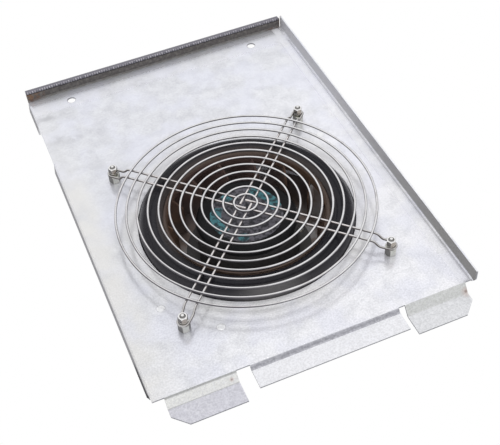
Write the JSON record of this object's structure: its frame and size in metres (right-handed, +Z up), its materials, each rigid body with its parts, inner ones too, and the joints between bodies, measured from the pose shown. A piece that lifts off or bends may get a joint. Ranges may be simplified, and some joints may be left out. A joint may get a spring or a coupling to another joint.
{
  "type": "centrifugal fan",
  "caption": "Centrifugal fan with an external-rotor motor hung under a flanged sheet-metal cover plate, with a bell-mouth inlet and a round wire guard on top.",
  "frame": {"origin": "fan axis at the cover plate's top face, in the middle of the air inlet", "axes": "+Z up along the fan axis to the guard, +Y along the plate's length to its flanged back edge"},
  "size_m": [0.3027, 0.4457, 0.1129],
  "materials": {
    "galvanised_sheet": "galvanised sheet, cloudy spangle",
    "trim_plastic": "ribbed dark grey edge trim",
    "nozzle_black": "black paint, half gloss",
    "guard_wire": "bright nickel plate",
    "plated_hardware": "zinc plate",
    "cast_aluminium": "die cast",
    "grommet_rubber": "soft black rubber",
    "bearing_steel": "ground steel",
    "lamination_steel": "stacked laminations",
    "copper_winding": "enamelled copper",
    "rotor_black": "black paint, half gloss",
    "label_film": "plain film label",
    "impeller_brown": "dark brown coating"
  },
  "bodies": {
    "frame": {"mounting_plate": "galvanised_sheet", "edge_trim": "trim_plastic", "inlet_nozzle": "nozzle_black", "guard_rings": "guard_wire", "guard_arms": "guard_wire", "guard_spacers": "plated_hardware", "guard_washers": "plated_hardware", "guard_cap_nuts": "plated_hardware", "spacer_nuts": "plated_hardware", "clinch_studs": "galvanised_sheet", "bracket_washers": "plated_hardware", "bracket_nuts": "plated_hardware", "motor_bracket": "galvanised_sheet", "motor_screws": "plated_hardware", "stator_flange": "cast_aluminium", "cable_grommet": "grommet_rubber", "upper_bearing": "bearing_steel", "lower_bearing": "bearing_steel", "stator_core": "lamination_steel", "stator_windings": "copper_winding"},
    "rotor": {"motor_shaft": "bearing_steel", "shaft_circlip": "bearing_steel", "rotor_can": "rotor_black", "rotor_flange": "rotor_black", "rotor_core": "lamination_steel", "rotor_label": "label_film", "impeller_rivets": "plated_hardware", "impeller_backplate": "impeller_brown", "impeller_shroud": "impeller_brown", "impeller_blades": "impeller_brown"}
  },
  "joints": [
    {"name": "impeller_spin", "type": "hinge", "parent": "frame", "child": "rotor", "pos_m": [0, 0, 0], "axis": [0, 0, 1], "continuous": true}
  ]
}
